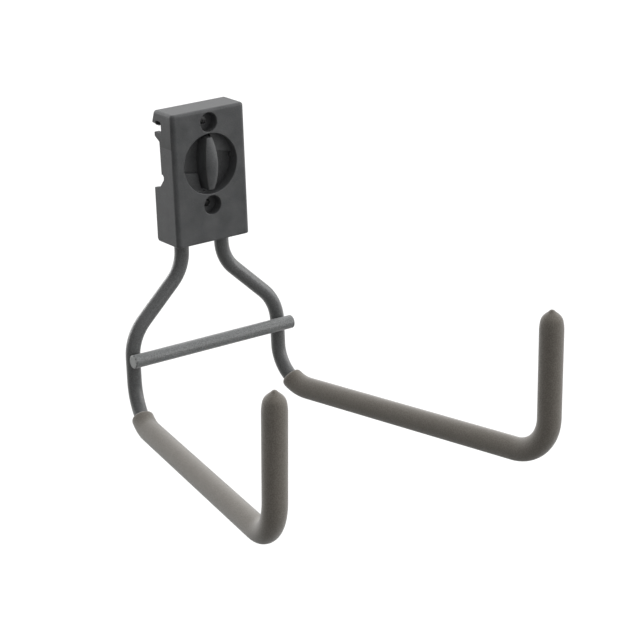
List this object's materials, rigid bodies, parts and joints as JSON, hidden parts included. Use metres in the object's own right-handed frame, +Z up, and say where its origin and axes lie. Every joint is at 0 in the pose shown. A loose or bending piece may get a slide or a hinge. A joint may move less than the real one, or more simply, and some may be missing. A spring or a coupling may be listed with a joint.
{
  "type": "double j-hook",
  "caption": "Double wall hook: a moulded clip with a turn-lock knob carries a bent steel rod frame with two foam-sleeved J arms.",
  "frame": {"origin": "on the knob's turning axis, in the plane of the wall behind the clip", "axes": "+Z up, -Y away from the wall towards the arms' ends, +X to the right seen from the front"},
  "size_m": [0.1822, 0.2073, 0.1741],
  "materials": {
    "clip_plastic": "fine matt moulding, dark grey",
    "rod_coating": "satin dark grey powder coat",
    "sleeve_foam": "matt closed-cell foam, warm dark grey",
    "screw_steel": "zinc-plated steel"
  },
  "bodies": {
    "hook": {"clip_housing": "clip_plastic", "hook_rod": "rod_coating", "cross_bar": "rod_coating", "left_sleeve": "sleeve_foam", "right_sleeve": "sleeve_foam"},
    "lock": {"lock_knob": "clip_plastic", "lock_cam": "clip_plastic", "cam_screw": "screw_steel"}
  },
  "joints": [
    {"name": "lock_turn", "type": "hinge", "parent": "hook", "child": "lock", "pos_m": [0, -0.0141, 0], "axis": [0, -1, 0], "range_deg": [0, 90]}
  ]
}
